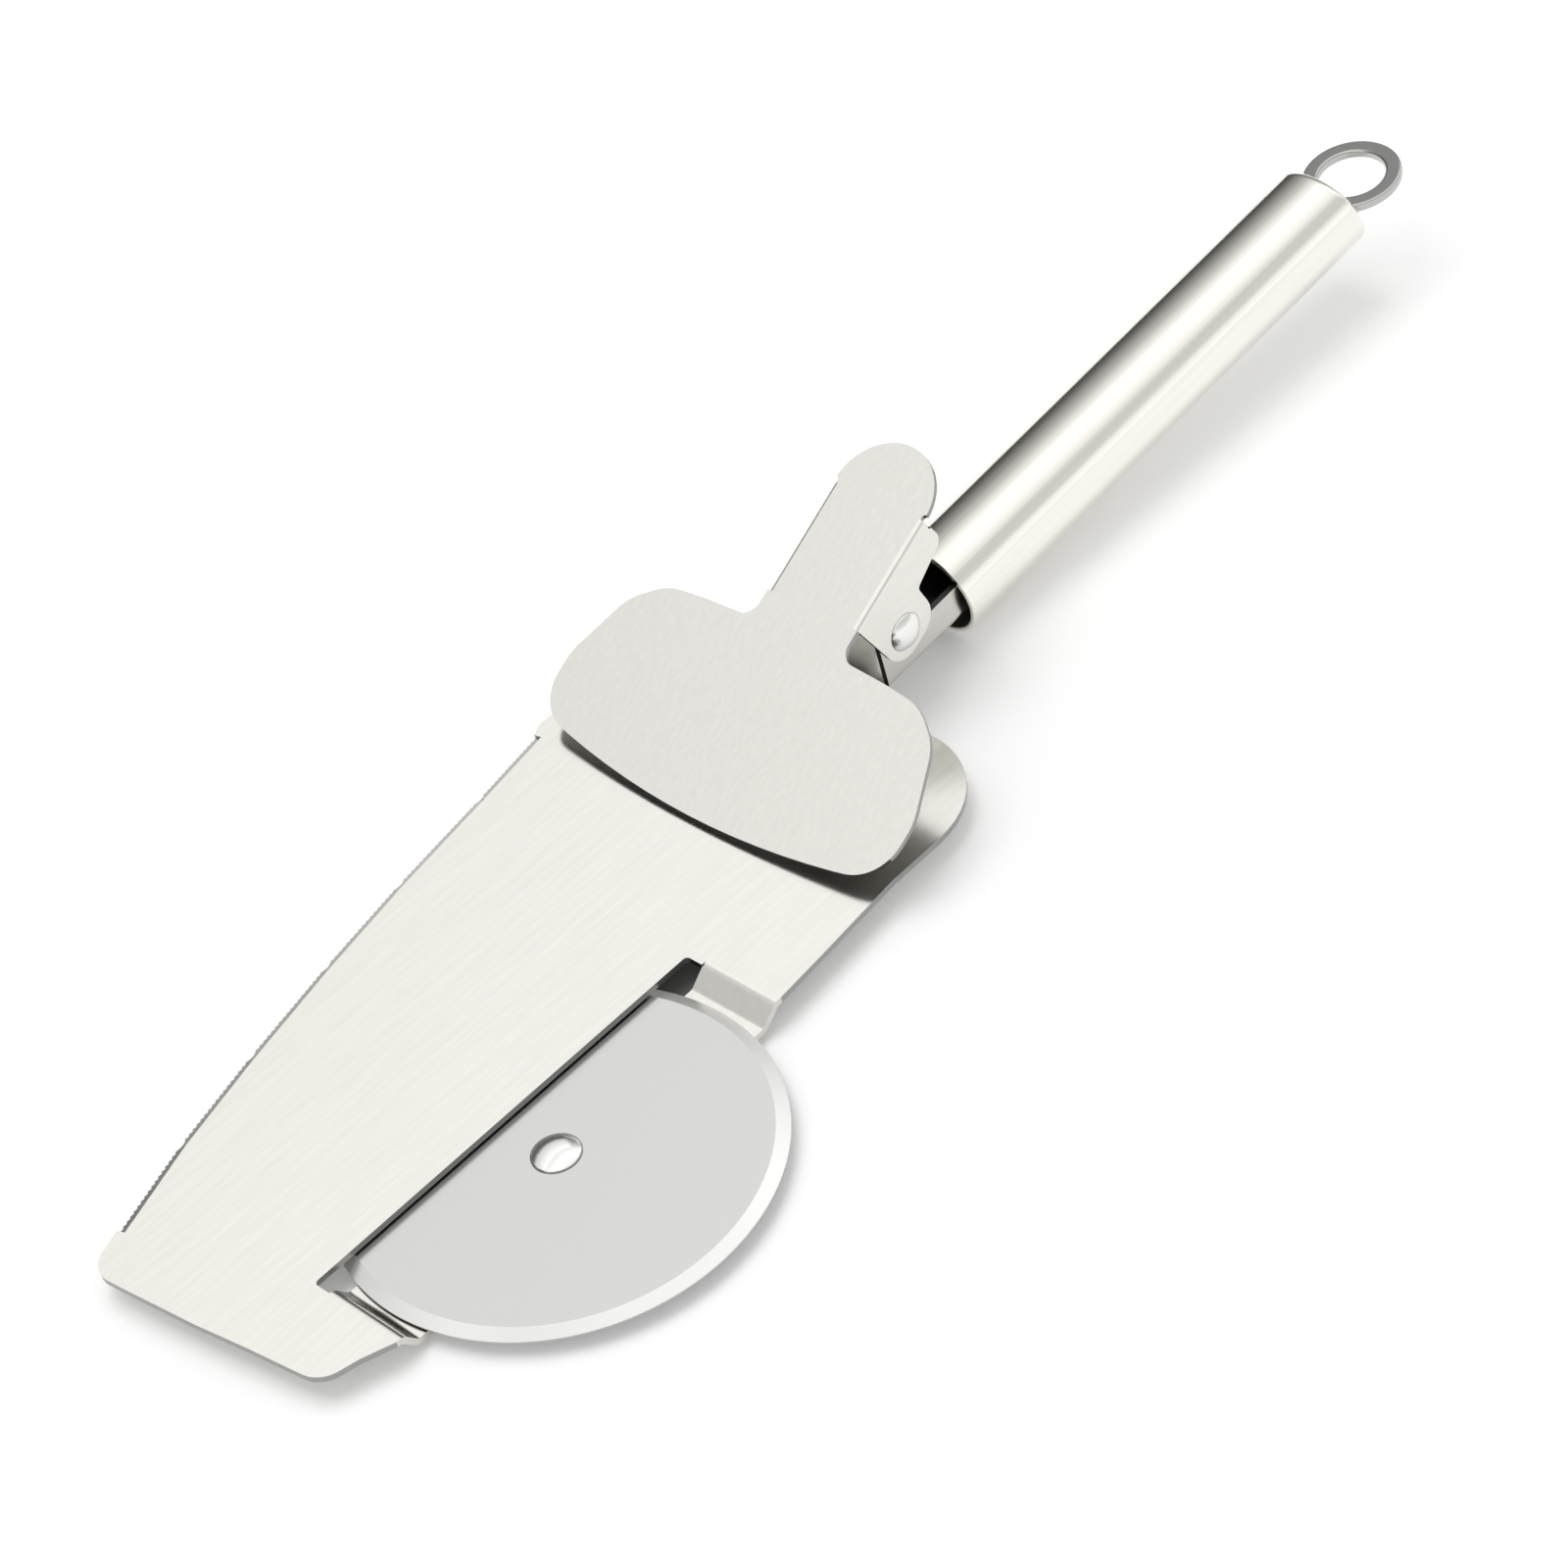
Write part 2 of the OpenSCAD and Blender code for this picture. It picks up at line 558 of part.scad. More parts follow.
// stamped plate with a thumb tab, folded down into two ears and their flanges
module clamp_plate() {
    color("#d8d6d0") in_clamp() difference() {
        union() {
            translate([0, 0, under_rise]) linear_extrude(height = clamp_sheet)
                polygon(clamp_pts);
            for (y = [tab_half, -tab_half]) side_sheet(y, clamp_sheet)
                polygon(rounded([[-ear_front, plate_rise, 0], [-ear_front, -ear_low, ear_r],
                    [ear_back, -ear_low, ear_r],
                    [waist_back, plate_rise - waist_depth, tab_fillet_r / 2],
                    [flange_end, plate_rise - flange_depth + flange_depth * flange_rise_share,
                     flange_r], [flange_end, plate_rise, 0]]));
        }
        for (y = [tab_half, -tab_half]) {
            fold_cut(-ear_front, flange_end, y, plate_rise, ear_fold_r, true);
            translate([flange_end + relief_r / 2, y, under_rise - over])
                cylinder(r = relief_r, h = clamp_sheet + 2 * over, $fn = small_fn);
        }
        translate([0, tab_half + over, 0]) rotate([90, 0, 0])
            cylinder(d = pin_d, h = tab_width + 2 * over, $fn = small_fn);
    }
}

module pivot_rivet() {
    color("#dededc") in_clamp() union() {
        translate([0, tab_half, 0]) rotate([90, 0, 0])
            cylinder(d = pin_d, h = tab_width, $fn = small_fn);
        translate([0, -tab_half, 0]) rotate([90, 0, 0]) dome(pin_head_d, pin_head_h);
        translate([0, tab_half, 0]) rotate([-90, 0, 0]) dome(pin_head_d, pin_head_h);
    }
}

module pivot_spacers() {
    long = ear_in - neck_half - side_clear;
    color("#b0b0ae") in_clamp() for (y = [ear_in, long - ear_in])
        translate([0, y, 0]) rotate([90, 0, 0]) difference() {
            cylinder(d = spacer_d, h = long, $fn = small_fn);
            translate([0, 0, -over]) cylinder(d = pin_d, h = long + 2 * over, $fn = small_fn);
        }
}

module clamp_spring() {
    color("#8f8f8c") in_part() translate([pivot_x, 0, pivot_z])
        polyhedron(wire_pts, wire_faces);
}

module cutter_wheel() {
    color("#c0bfbb") in_part() translate([0, -wheel_off, 0]) rotate_extrude($fn = 180)
        polygon([[axle_d / 2 + run_clear, 0], [wheel_r, 0], [wheel_r, wheel_rim],
            [wheel_r - wheel_bevel, wheel_thick], [axle_d / 2 + run_clear, wheel_thick]]);
}

module wheel_rivet() {
    low = strip_top - sheet;
    color("#e2e2e0") in_part() translate([0, -wheel_off, 0]) union() {
        translate([0, 0, low])
            cylinder(d = axle_d, h = wheel_thick + wheel_play - low, $fn = small_fn);
        translate([0, 0, wheel_thick + wheel_play]) dome(axle_head_d, axle_head_h);
        translate([0, 0, low - axle_tail_h])
            cylinder(d = axle_tail_d, h = axle_tail_h, $fn = small_fn);
    }
}

module wheel_washer() {
    color("#a3a3a0") in_part() translate([0, -wheel_off, strip_top]) difference() {
        cylinder(d = washer_d, h = strip_gap - wheel_play, $fn = small_fn);
        translate([0, 0, -over])
            cylinder(d = axle_d, h = strip_gap + 2 * over, $fn = small_fn);
    }
}

server_blade();
handle_tube();
handle_end_cap();
hanging_ring();
clamp_plate();
pivot_rivet();
pivot_spacers();
clamp_spring();
cutter_wheel();
wheel_rivet();
wheel_washer();
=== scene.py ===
# %% [markdown]
# # A pizza knife, dressed in steel
# The tool is all stainless steel: a server blade with a cutting wheel at its side, a sprung clamp
# and a tube handle. The CAD model gives every size, and this lesson gives it surfaces and finishes.
# One steel has to look different on each piece, because each was worked in another way: sheet
# that was brushed along the blade, a tube that was polished lengthwise, turned rivets, a ground
# wheel, a stamped ring and drawn wire.

# %% Load the frame
import json
import bmesh
import bpy
import numpy as np
from mathutils import Matrix, Vector
from mathutils.bvhtree import BVHTree


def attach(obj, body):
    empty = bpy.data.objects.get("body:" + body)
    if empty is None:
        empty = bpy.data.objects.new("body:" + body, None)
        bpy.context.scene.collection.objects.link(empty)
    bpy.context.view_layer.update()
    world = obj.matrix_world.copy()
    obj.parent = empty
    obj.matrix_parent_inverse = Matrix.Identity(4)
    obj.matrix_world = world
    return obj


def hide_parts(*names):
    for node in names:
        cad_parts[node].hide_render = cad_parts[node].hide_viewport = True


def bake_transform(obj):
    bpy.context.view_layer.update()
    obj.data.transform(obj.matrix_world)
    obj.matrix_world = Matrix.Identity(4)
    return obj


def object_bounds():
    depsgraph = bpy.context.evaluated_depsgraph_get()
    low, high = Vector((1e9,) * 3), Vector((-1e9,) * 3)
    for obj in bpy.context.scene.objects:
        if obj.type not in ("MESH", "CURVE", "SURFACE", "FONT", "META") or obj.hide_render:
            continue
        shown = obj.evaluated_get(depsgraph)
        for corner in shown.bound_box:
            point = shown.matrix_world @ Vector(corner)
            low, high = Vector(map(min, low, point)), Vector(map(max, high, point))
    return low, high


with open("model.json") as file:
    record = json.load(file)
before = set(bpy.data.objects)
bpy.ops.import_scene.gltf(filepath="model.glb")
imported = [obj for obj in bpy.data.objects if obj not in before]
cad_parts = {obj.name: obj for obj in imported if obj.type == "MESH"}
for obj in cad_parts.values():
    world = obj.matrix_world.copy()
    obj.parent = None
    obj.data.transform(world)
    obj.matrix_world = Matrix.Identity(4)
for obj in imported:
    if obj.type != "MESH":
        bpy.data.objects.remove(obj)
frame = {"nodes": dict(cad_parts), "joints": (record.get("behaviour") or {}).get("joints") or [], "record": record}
cad_low, cad_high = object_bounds()
nodes = frame["nodes"]
MM = 0.001
cad_size = [round((high - low) / MM, 1) for low, high in zip(cad_low, cad_high)]
print("frame:", len(nodes), "nodes,", cad_size, "mm")

# %% [markdown]
# ## Places that the record gives
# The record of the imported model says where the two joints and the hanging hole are. Every new
# surface is placed from these three points, so nothing has to be fitted by eye. The hole's axis
# stands square on the handle, so it also tells how much the handle rises.

# %% Places
where = {joint["name"]: np.array(joint["pos_m"]) for joint in frame["joints"]}
PIVOT, AXLE = where["clamp_pivot"], where["wheel_spin"]
hole = frame["record"]["mounts"][0]
RING = np.array(hole["pos_m"])
UP = np.array(hole["axis"])
UP = UP / np.linalg.norm(UP)
SIDE = np.array((0.0, 1.0, 0.0))
ALONG = np.cross(SIDE, UP)
FLAT = np.array((0.0, 0.0, 1.0))
RISE = float(np.degrees(np.arcsin(ALONG[2])))
print("handle rises by %.2f degrees" % RISE)

# %% [markdown]
# ## The camera
# The photograph looks down on the table at 41 degrees, with the tool lying from the lower left to
# the upper right, and the camera is rolled by 15 degrees. It is a long lens: 100 mm on a 36 mm
# sensor, about 0.65 m away. A camera that is aimed at a point and then rolled round its own axis
# needs no guessing at Euler angles.

# %% Camera
EYE = Vector((-299.174, -380.505, 426.107)) * MM
AIM = Vector((-12.307, 10.745, 0.077)) * MM
ROLL = np.radians(-15.046)
LENS, SENSOR = 100.125, 36.0

camera = bpy.data.objects.new("camera", bpy.data.cameras.new("camera"))
bpy.context.scene.collection.objects.link(camera)
camera.data.lens, camera.data.sensor_width = LENS, SENSOR
camera.data.clip_start, camera.data.clip_end = 0.05, 20.0
camera.location = EYE
turn = (AIM - EYE).to_track_quat("-Z", "Y").to_matrix() @ Matrix.Rotation(ROLL, 3, "Z")
camera.rotation_euler = turn.to_euler()
bpy.context.scene.camera = camera
bpy.context.scene.view_settings.view_transform = "Standard"
print("camera: %.0f mm lens, %.2f m away" % (LENS, (AIM - EYE).length))

# %% [markdown]
# ## The studio
# Metal shows what is round it, so the studio matters more than the lamps. It could be a room full
# of panels, but a sky whose brightness depends on one angle does it with a single ramp: bright in
# front and high above, a little darker between them, and dark towards the horizon behind the
# tool. Those bands are the stripes of the tube. What isn't shiny gets an even white sky instead,
# and the camera sees plain white.

# %% Helpers for node trees
def tree_of(owner):
    """Empty node tree of a material or world, and a function that adds a node to it."""
    owner.use_nodes = True
    tree = owner.node_tree
    tree.nodes.clear()

    def add(kind, **values):
        node = tree.nodes.new("ShaderNode" + kind)
        for name, value in values.items():
            if hasattr(node, name):
                setattr(node, name, value)
            else:
                node.inputs[name.replace("_", " ")].default_value = value
        return node
    return tree, add


def math(tree, add, what, a, b=None):
    """Output of a Math node; a and b are numbers or sockets."""
    node = add("Math", operation=what)
    for socket, value in zip(node.inputs, (a, b)):
        if hasattr(value, "is_linked"):
            tree.links.new(value, socket)
        elif value is not None:
            socket.default_value = value
    return node.outputs[0]


def ramp(tree, add, value, stops):
    """Grey value that runs through (position, grey) stops as the input goes from 0 to 1."""
    node = add("ValToRGB")
    node.color_ramp.interpolation = "LINEAR"
    while len(node.color_ramp.elements) < len(stops):
        node.color_ramp.elements.new(0.5)
    for element, (position, grey) in zip(node.color_ramp.elements, stops):
        element.position, element.color = position, (grey, grey, grey, 1)
    tree.links.new(value, node.inputs[0])
    return node.outputs[0]


# %% Sky
FILL = 0.70                         # even light of the sky on what isn't shiny
PEAK = 1.25                         # a ramp holds 0 to 1, so it is scaled by this
# What metal sees: (degrees, brightness), from the front horizon over the top to the back.
HOOP = [(0, 1.15), (13, 1.00), (21, 0.72), (27, 0.67), (40, 0.67), (45, 0.80), (51, 0.96),
        (60, 1.08), (74, 1.22), (91, 1.20), (99, 1.00), (107, 0.84), (120, 0.57), (137, 0.34),
        (160, 0.13), (180, 0.03)]
WHITE = (1, 1, 1, 1)

world = bpy.data.worlds.new("studio")
bpy.context.scene.world = world
tree, add = tree_of(world)
split = add("SeparateXYZ")
tree.links.new(add("TexCoord").outputs["Generated"], split.inputs[0])
front = math(tree, add, "MULTIPLY", split.outputs["Y"], -1.0)
lift = math(tree, add, "ARCTAN2", split.outputs["Z"], front)
turn_share = math(tree, add, "DIVIDE", lift, float(np.pi))
studio = ramp(tree, add, turn_share, [(angle / 180, grey / PEAK) for angle, grey in HOOP])
studio = math(tree, add, "MULTIPLY", studio, PEAK)
path = add("LightPath")
sky = add("Background", Color=WHITE)
tree.links.new(studio, sky.inputs["Strength"])
white = add("Background", Color=WHITE, Strength=1.0)
fill = add("Background", Color=WHITE, Strength=FILL)
mix, pick, out = add("MixShader"), add("MixShader"), add("OutputWorld")
tree.links.new(path.outputs["Is Glossy Ray"], pick.inputs[0])
tree.links.new(fill.outputs[0], pick.inputs[1])
tree.links.new(sky.outputs[0], pick.inputs[2])
tree.links.new(path.outputs["Is Camera Ray"], mix.inputs[0])
tree.links.new(pick.outputs[0], mix.inputs[1])
tree.links.new(white.outputs[0], mix.inputs[2])
tree.links.new(mix.outputs[0], out.inputs[0])
print("sky:", len(HOOP), "stops, brightest", max(grey for angle, grey in HOOP))

# %% [markdown]
# ## The table
# A white table that still keeps the tool's shadow. Its own white is a little under 1, and a faint
# glow lifts it to white for the camera and for reflections. The glow grows with the distance,
# where the lamp's light gets weaker. Under the blade, behind the far end of the slit, a painted
# shadow lies on the table: a round spot where the table's colour is painted dark grey and the
# glow is off.

# %% Table
TABLE_SIZE, TABLE_DROP = 6.0, 0.2 * MM
# the table's white, and the dark grey of the painted shadow under the blade
TABLE_WHITE, PAINTED_SHADOW_GREY = 0.9, 0.22
GLOW_NEAR, GLOW_FAR = 0.15, 0.38    # by the tool, and far from it
GLOW_FROM, GLOW_TO = 0.4, 1.6       # metres from the tool between which it grows
# middle, inner and outer radius of the painted shadow under the blade
PAINTED_SHADOW = (-49.5 * MM, -5.0 * MM, 0.0)
PAINTED_SHADOW_IN, PAINTED_SHADOW_OUT = 5.0 * MM, 9.0 * MM

bpy.ops.mesh.primitive_plane_add(size=TABLE_SIZE, location=(0, 0, -TABLE_DROP))
floor = bpy.context.object
floor.name = "floor"
pale = bpy.data.materials.new("pale_table")
tree, add = tree_of(pale)
diffuse = add("BsdfDiffuse")
glow = add("Emission")
spot = add("TexCoord").outputs["Object"]
away = add("VectorMath", operation="LENGTH")
tree.links.new(spot, away.inputs[0])
fade = add("MapRange", From_Min=GLOW_FROM, From_Max=GLOW_TO, To_Min=GLOW_NEAR, To_Max=GLOW_FAR)
tree.links.new(away.outputs["Value"], fade.inputs[0])
near = add("VectorMath", operation="DISTANCE")
near.inputs[1].default_value = PAINTED_SHADOW
tree.links.new(spot, near.inputs[0])
# painted shadow: near that spot the table's colour turns dark grey and its glow goes off
painted_shadow_mask = add("MapRange", From_Min=PAINTED_SHADOW_IN, From_Max=PAINTED_SHADOW_OUT)
tree.links.new(near.outputs["Value"], painted_shadow_mask.inputs[0])
whiteness = ramp(tree, add, painted_shadow_mask.outputs[0], [(0.0, PAINTED_SHADOW_GREY), (1.0, TABLE_WHITE)])
tree.links.new(whiteness, diffuse.inputs["Color"])
strength = math(tree, add, "MULTIPLY", fade.outputs[0], painted_shadow_mask.outputs[0])
tree.links.new(strength, glow.inputs["Strength"])
path = add("LightPath")
seen = math(tree, add, "MAXIMUM", path.outputs["Is Camera Ray"], path.outputs["Is Glossy Ray"])
amount, both, out = add("MixShader"), add("AddShader"), add("OutputMaterial")
tree.links.new(diffuse.outputs[0], both.inputs[0])
tree.links.new(glow.outputs[0], both.inputs[1])
tree.links.new(seen, amount.inputs[0])
tree.links.new(diffuse.outputs[0], amount.inputs[1])
tree.links.new(both.outputs[0], amount.inputs[2])
tree.links.new(amount.outputs[0], out.inputs[0])
floor.data.materials.append(pale)
print("table: %.0f m wide, %.1f mm under the tool" % (TABLE_SIZE, TABLE_DROP / MM))

# %% [markdown]
# ## The lamp over the table
# One wide lamp, high up and a little behind the tool, leaves a soft shadow on the near right side.
# Its mirror image would be a hard white spot on the metal, so reflections don't show it.

# %% Table lamp
def panel(name, place, wide, high, radiance):
    """Rectangular lamp that faces the tool; its power is pi * area * radiance."""
    light = bpy.data.objects.new(name, bpy.data.lights.new(name, "AREA"))
    bpy.context.scene.collection.objects.link(light)
    light.location = place
    light.rotation_euler = (-light.location).to_track_quat("-Z", "Y").to_euler()
    light.data.shape, light.data.size, light.data.size_y = "RECTANGLE", wide, high
    light.data.energy = float(np.pi * wide * high * radiance)
    return light


table_lamp = panel("table_lamp", place=(-0.1, 0.24, 1.15), wide=0.9, high=0.7, radiance=2.6)
table_lamp.visible_glossy = False
print("table lamp: %.1f W" % table_lamp.data.energy)

# %% [markdown]
# ## Steel
# A brush leaves streaks that are long along its way and fine across it. Noise that is stretched
# 4 to 60 times along one direction gives that, and it goes into the colour, the roughness and a
# very low relief together, because a deeper scratch is darker, rougher and lower at once. A
# second, slow noise makes the tone wander a little, as it does on real sheet.
#
# Each finish has its own numbers. The faces are satin, with the grain along the blade or the
# tube. A torn edge is what a punch leaves over most of the sheet's height: rough, and painted
# near black, which is also a painted shade for the gaps beside it. A cleaned edge was deburred.
# A rim is the fine radius between face and edge, tumbled smooth and painted lighter than the
# face: a painted highlight. Mill steel is what nobody polished, inside the tube; on the clamp's
# underside, which is the same steel as its top, its dark colour is painted shade.

# %% Helpers for steel
def noise(tree, add, place, scale, turn=(0, 0, 0), stretch=(1, 1, 1), detail=3.0):
    """Noise on the object's own coordinates, drawn out by the given factors and then turned."""
    mapping = add("Mapping", vector_type="TEXTURE")
    mapping.inputs["Scale"].default_value = stretch
    mapping.inputs["Rotation"].default_value = turn
    tree.links.new(place, mapping.inputs[0])
    texture = add("TexNoise", Scale=scale, Detail=detail)
    tree.links.new(mapping.outputs[0], texture.inputs["Vector"])
    return texture.outputs[0]


def shade(tree, add, amount, dark, light):
    """Colour between dark and light by a value from 0 to 1."""
    node = add("Mix", data_type="RGBA")
    node.inputs[6].default_value, node.inputs[7].default_value = (*dark, 1), (*light, 1)
    tree.links.new(amount, node.inputs[0])
    return node.outputs[2]


def multiply(tree, add, a, b):
    """Product of two colours."""
    node = add("Mix", data_type="RGBA", blend_type="MULTIPLY")
    node.inputs[0].default_value = 1.0
    tree.links.new(a, node.inputs[6])
    tree.links.new(b, node.inputs[7])
    return node.outputs[2]


# %% Steel
SLOW = 30.0                         # scale of the slow noise, in waves per metre
COOL = 1.4                          # how much more the blue wanders than red and green
ROUGH_PLAY = 0.1                    # share by which the streaks change the roughness


def steel(name, color, rough, along, streak=0.03, wander=0.02, relief=0.05, anisotropic=0.4,
          width=0.35 * MM, stretch=60):
    """Steel with streaks along one direction; streak and wander are shares of the tone."""
    material = bpy.data.materials.new(name)
    tree, add = tree_of(material)
    place = add("TexCoord").outputs["Object"]
    way = Vector(along).normalized().to_track_quat("X", "Z").to_euler()
    streaks = noise(tree, add, place, 1.0 / width, way, (stretch, 1, 1))
    slow = noise(tree, add, place, SLOW, detail=2.0)
    dark, light = [c * (1 - streak) for c in color], [min(1, c * (1 + streak)) for c in color]
    fine = shade(tree, add, streaks, dark, light)
    tone = shade(tree, add, slow, (1 - wander, 1 - wander, 1 - COOL * wander), (1, 1, 1))
    metal = add("BsdfPrincipled", Metallic=1.0, Anisotropic=anisotropic)
    tree.links.new(multiply(tree, add, fine, tone), metal.inputs["Base Color"])
    spread = add("MapRange", To_Min=rough * (1 - ROUGH_PLAY), To_Max=rough * (1 + ROUGH_PLAY))
    tree.links.new(streaks, spread.inputs[0])
    tree.links.new(spread.outputs[0], metal.inputs["Roughness"])
    bump = add("Bump", Strength=relief, Distance=0.1 * MM)
    tree.links.new(streaks, bump.inputs["Height"])
    tree.links.new(bump.outputs[0], metal.inputs["Normal"])
    grain = add("VectorTransform", vector_type="VECTOR", convert_from="OBJECT", convert_to="WORLD")
    grain.inputs[0].default_value = along
    tree.links.new(grain.outputs[0], metal.inputs["Tangent"])
    out = add("OutputMaterial")
    tree.links.new(metal.outputs[0], out.inputs[0])
    return material


# %% Finishes
BLADE, TUBE, THROUGH = (1.0, 0.0, 0.0), tuple(float(c) for c in ALONG), (0.0, 0.0, 1.0)
before = len(bpy.data.materials)

plate_steel = steel("plate_steel", (0.665, 0.655, 0.618), 0.19, BLADE, streak=0.06,
                    width=0.7 * MM, stretch=14)
clamp_steel = steel("clamp_steel", (0.815, 0.80, 0.755), 0.25, BLADE, streak=0.06,
                    width=0.7 * MM, stretch=14)
tube_steel = steel("tube_steel", (0.912, 0.895, 0.835), 0.14, TUBE, streak=0.05, relief=0.08,
                   width=0.5 * MM)
ring_steel = steel("ring_steel", (0.52, 0.52, 0.51), 0.22, TUBE)
rivet_steel = steel("rivet_steel", (0.88, 0.88, 0.86), 0.20, BLADE, anisotropic=0.0)
wheel_steel = steel("wheel_steel", (0.53, 0.53, 0.523), 0.28, BLADE, streak=0.008, wander=0.01,
                    relief=0.005, width=1.2 * MM, stretch=4)
# the wheel's bevel, painted lighter than the wheel's face: a painted highlight
bevel_painted_highlight = steel("bevel_painted_highlight", (0.80, 0.795, 0.78), 0.30, BLADE, anisotropic=0.0)
wire_steel = steel("wire_steel", (0.42, 0.42, 0.41), 0.25, BLADE)
# dull, unpolished steel inside the tube; on the clamp's underside its dark colour is painted shade
mill_steel_and_painted_shade = steel("mill_steel_and_painted_shade", (0.28, 0.276, 0.268), 0.42, BLADE)
# near-black edge: a rough sheared edge, its dark colour also a painted shade for the gaps beside it
torn_edge_and_painted_shade = steel("torn_edge_and_painted_shade", (0.06, 0.06, 0.06), 0.45, THROUGH, streak=0.2)
clean_edge = steel("clean_edge", (0.34, 0.34, 0.335), 0.30, THROUGH, streak=0.1)
# rims: tumbled smooth, and painted lighter than the faces as a painted highlight
blade_rim_painted_highlight = steel("blade_rim_painted_highlight", (0.76, 0.76, 0.74), 0.18, BLADE, anisotropic=0.0)
clamp_rim_painted_highlight = steel("clamp_rim_painted_highlight", (0.96, 0.96, 0.94), 0.18, BLADE, anisotropic=0.0)
print("steel:", len(bpy.data.materials) - before, "finishes")

# %% [markdown]
# ## Surfaces of revolution
# The tube, its end, the ring, the wheel and the rivets' heads were all turned or rolled, so each
# is one profile carried round an axis. The profile's corners are rounded first: a turned edge
# always keeps a small radius, and it is this radius that catches the light.

# %% A profile with rounded corners
SHARP = 1e-4                        # radius in mm that stands for a sharp corner


def rounded(points, radii, steps=6):
    """Closed outline with arcs in its corners: in each corner the centre lies on the bisector, at
    r / sin(half the angle), and the arc runs from one tangent point to the other."""
    p = np.array(points, float)
    r = np.maximum(np.array(radii, float), SHARP)[:, None]
    u, w = np.roll(p, 1, 0) - p, np.roll(p, -1, 0) - p
    u, w = u / np.linalg.norm(u, axis=1)[:, None], w / np.linalg.norm(w, axis=1)[:, None]
    half = np.arccos(np.clip((u * w).sum(1), -1, 1))[:, None] / 2
    middle = p + (u + w) / np.linalg.norm(u + w, axis=1)[:, None] * r / np.sin(half)
    start, stop = p + u * r / np.tan(half) - middle, p + w * r / np.tan(half) - middle
    cross = start[:, 0] * stop[:, 1] - start[:, 1] * stop[:, 0]
    a = np.arctan2(cross, (start * stop).sum(1))[:, None] * np.linspace(0, 1, steps + 1)
    x = start[:, :1] * np.cos(a) - start[:, 1:] * np.sin(a)
    y = start[:, :1] * np.sin(a) + start[:, 1:] * np.cos(a)
    return (middle[:, None] + np.stack([x, y], -1)).reshape(-1, 2)


# %% A profile carried round an axis
def grid_faces(rows, columns, close_rows, close_columns):
    """Corner numbers of the quads of a grid whose points are numbered row by row."""
    row, column = np.arange(rows - (not close_rows)), np.arange(columns - (not close_columns))
    i, j = np.meshgrid(row, column, indexing="ij")
    k, m = (i + 1) % rows, (j + 1) % columns
    corners = [i * columns + j, i * columns + m, k * columns + m, k * columns + j]
    return np.stack(corners, -1).reshape(-1, 4)


def revolved(profile, centre, axis, sides, slant=None):
    """Points centre + a * axis + r * (cos t * u + sin t * v) for a profile of (a, r) in mm. slant
    is the share by which each profile point also slides back along the axis as it gets higher."""
    u = SIDE if abs(axis[1]) < 0.5 else FLAT
    u = u - axis * (u @ axis)
    u = u / np.linalg.norm(u)
    v = np.cross(axis, u)
    t = np.linspace(0, 2 * np.pi, sides, endpoint=False)
    spoke = np.cos(t)[:, None] * u + np.sin(t)[:, None] * v
    a, r = profile[:, 0, None, None] * MM, profile[:, 1, None, None] * MM
    points = centre + a * axis + r * spoke
    if slant is not None:
        high = (points - centre) @ UP
        points = points - (slant[:, None] * high)[:, :, None] * axis
    return points.reshape(-1, 3), grid_faces(len(profile), sides, True, True)


# %% [markdown]
# Points and quads become a mesh object in one place, because every piece needs the same care: its
# poles closed, its faces pointing outwards, its body named, and the CAD solid that it stands for
# hidden.

# %% A piece from its points
SAME = 1e-7                         # points closer than this, in metres, are one


def evened(thing):
    """Weight the normals, so that wide flat faces stay flat beside their small radii."""
    even = thing.modifiers.new("even", "WEIGHTED_NORMAL")
    even.keep_sharp, even.weight = True, 50


def piece(name, points, faces, body, slot, material, *replaced):
    """Mesh object from points in metres and quads; doubles at poles are merged and the normals
    turned outwards."""
    mesh = bpy.data.meshes.new(name)
    mesh.from_pydata(points.tolist(), [], faces.tolist())
    work = bmesh.new()
    work.from_mesh(mesh)
    bmesh.ops.remove_doubles(work, verts=work.verts, dist=SAME)
    bmesh.ops.recalc_face_normals(work, faces=work.faces)
    work.to_mesh(mesh)
    work.free()
    mesh.shade_smooth()
    mesh.materials.append(material)
    thing = bpy.data.objects.new(name, mesh)
    bpy.context.scene.collection.objects.link(thing)
    evened(thing)
    if body:
        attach(thing, body)
    if replaced:
        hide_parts(*replaced)
    print(name, len(mesh.polygons), "faces")
    return thing


# %% A second finish on the same piece
def second_finish(thing, material, chosen):
    """Give a second material to the faces for which chosen(middles, normals) is true."""
    faces = thing.data.polygons
    middles, normals = np.empty(len(faces) * 3), np.empty(len(faces) * 3)
    faces.foreach_get("center", middles)
    faces.foreach_get("normal", normals)
    thing.data.materials.append(material)
    picked = chosen(middles.reshape(-1, 3), normals.reshape(-1, 3))
    faces.foreach_set("material_index", picked.astype(int))
    print(thing.name, int(picked.sum()), "faces of", material.name)


# %% [markdown]
# ## The handle
# A plain tube of 16 mm with a wall of 0.8 mm. Its mouth was deburred, so the edge is a fine radius
# that shines as a bright rim round the dark bore. The far end is closed and cut a little slanted.
# The slant is one share per profile point: 0 along the tube and full at the joint with the cap.
# The ring is a flat eye, stamped from thicker sheet and tumbled, so all its edges are round.

# %% Tube
TUBE_R, TUBE_WALL, TUBE_LONG, MOUTH_EDGE = 8.0, 0.8, 95.9, 0.25
RING_AT, END_SLANT = 104.3, 0.25    # the ring's distance from the mouth, and the end's slant
TUBE_SIDES = 160
BORE = TUBE_R - TUBE_WALL
MOUTH = RING - ALONG * RING_AT * MM


